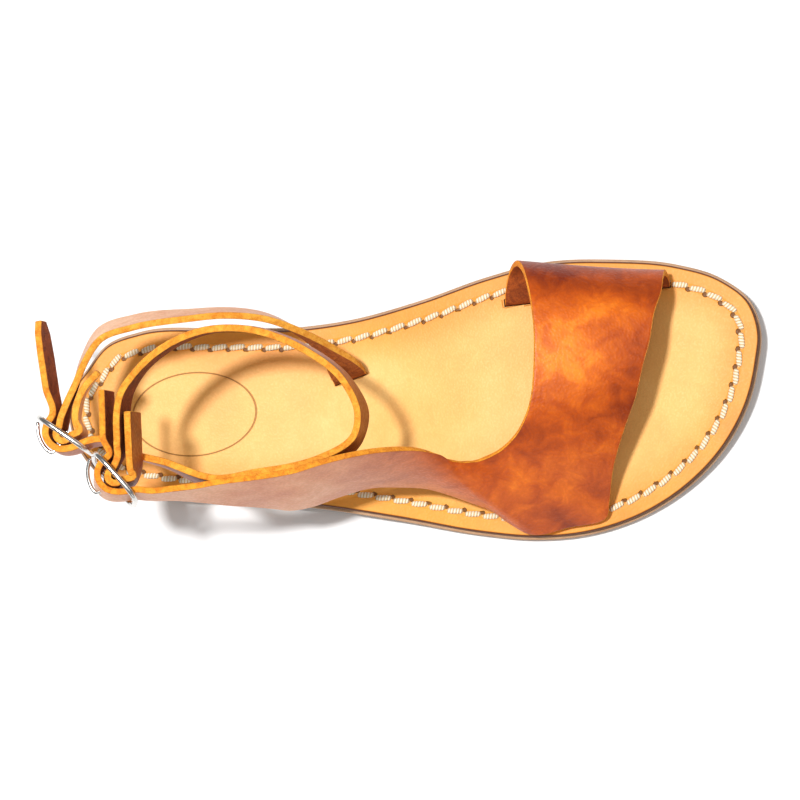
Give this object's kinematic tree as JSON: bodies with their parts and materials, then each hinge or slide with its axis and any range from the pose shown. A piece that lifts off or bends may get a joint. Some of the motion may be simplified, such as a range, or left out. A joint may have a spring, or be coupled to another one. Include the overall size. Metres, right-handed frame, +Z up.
{
  "type": "leather sandal",
  "caption": "Flat leather sandal for the right foot with a wide toe band that runs on as a side panel, an ankle strap, a heel strap and oval wire buckles.",
  "frame": {"origin": "on the ground under the middle of the heel, 30.6 mm in front of the back of the insole", "axes": "+X to the toe, +Y to the big-toe side, +Z up"},
  "size_m": [0.2516, 0.1001, 0.0813],
  "materials": {
    "outsole": "smooth sole leather with a dyed edge",
    "insole": "golden tan vegetable-tanned leather, satin",
    "upper": "cognac leather, mottled and glossy",
    "strap": "cognac leather with orange cut edges and a rough flesh side",
    "buckle": "polished nickel-plated wire"
  },
  "bodies": {
    "root": {"outsole": "outsole", "insole": "insole", "upper": "upper", "ankle_strap": "strap", "heel_strap": "strap", "ankle_buckle_frame": "buckle", "ankle_buckle_prong": "buckle", "heel_buckle_frame": "buckle", "heel_buckle_prong": "buckle"}
  },
  "joints": []
}
